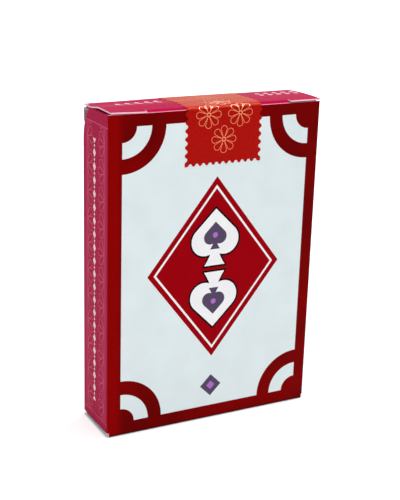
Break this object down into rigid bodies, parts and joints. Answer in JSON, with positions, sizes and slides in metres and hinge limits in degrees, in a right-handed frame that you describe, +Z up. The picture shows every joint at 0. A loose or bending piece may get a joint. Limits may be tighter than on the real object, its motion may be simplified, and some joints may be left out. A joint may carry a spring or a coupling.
{
  "type": "playing card deck",
  "caption": "Upright tuck carton of folded paperboard with a scalloped paper seal over its lid, holding a pack of playing cards; the lid and its flaps fold open on creases.",
  "frame": {"origin": "centre of the carton's footprint, on the surface it stands on", "axes": "+Z up along the height of the cards, -Y out of the front face, +X to the right seen from the front"},
  "size_m": [0.0654, 0.0178, 0.0938],
  "materials": {
    "face_board": "satin",
    "side_board": "satin",
    "lid_board": "satin",
    "bare_board": "matte",
    "seal_paper": "satin",
    "card_stock": "satin"
  },
  "bodies": {
    "carton": {"front_panel": "face_board", "back_panel": "face_board", "left_side_panel": "side_board", "right_side_panel": "side_board", "glue_flap": "bare_board", "bottom_outer_flap": "face_board", "bottom_inner_flap": "bare_board", "bottom_left_dust_flap": "bare_board", "bottom_right_dust_flap": "bare_board", "seal_front": "seal_paper", "seal_back": "seal_paper"},
    "lid": {"lid_panel": "lid_board", "seal_top": "seal_paper"},
    "tuck_flap": {"tuck_flap": "lid_board"},
    "left_dust_flap": {"left_dust_flap": "lid_board"},
    "right_dust_flap": {"right_dust_flap": "lid_board"},
    "deck": {"jokers": "card_stock", "black_aces": "card_stock", "black_twos": "card_stock", "black_threes": "card_stock", "black_fours": "card_stock", "black_fives": "card_stock", "black_sixes": "card_stock", "black_sevens": "card_stock", "black_eights": "card_stock", "black_nines": "card_stock", "black_tens": "card_stock", "black_jacks": "card_stock", "black_queens": "card_stock", "black_kings": "card_stock", "red_aces": "card_stock", "red_twos": "card_stock", "red_threes": "card_stock", "red_fours": "card_stock", "red_fives": "card_stock", "red_sixes": "card_stock", "red_sevens": "card_stock", "red_eights": "card_stock", "red_nines": "card_stock", "red_tens": "card_stock", "red_jacks": "card_stock", "red_queens": "card_stock", "red_kings": "card_stock"}
  },
  "joints": [
    {"name": "lid_hinge", "type": "hinge", "parent": "carton", "child": "lid", "pos_m": [0, 0.0086, 0.0935], "axis": [-1, 0, 0], "range_deg": [0, 110]},
    {"name": "tuck_crease", "type": "hinge", "parent": "lid", "child": "tuck_flap", "pos_m": [0, -0.008, 0.0935], "axis": [1, 0, 0], "range_deg": [0, 60.5]},
    {"name": "left_dust_crease", "type": "hinge", "parent": "carton", "child": "left_dust_flap", "pos_m": [-0.0325, 0, 0.0924], "axis": [0, -1, 0], "range_deg": [0, 24.2]},
    {"name": "right_dust_crease", "type": "hinge", "parent": "carton", "child": "right_dust_flap", "pos_m": [0.0325, 0, 0.0924], "axis": [0, 1, 0], "range_deg": [0, 24.2]},
    {"name": "deck_slide", "type": "slide", "parent": "carton", "child": "deck", "axis": [0, 0, 1], "range_m": [0, 0.0019]}
  ],
  "couplings": [
    {"joint": "tuck_crease", "follows": "lid_hinge", "ratio": 0.55},
    {"joint": "left_dust_crease", "follows": "lid_hinge", "ratio": 0.22},
    {"joint": "right_dust_crease", "follows": "lid_hinge", "ratio": 0.22}
  ]
}
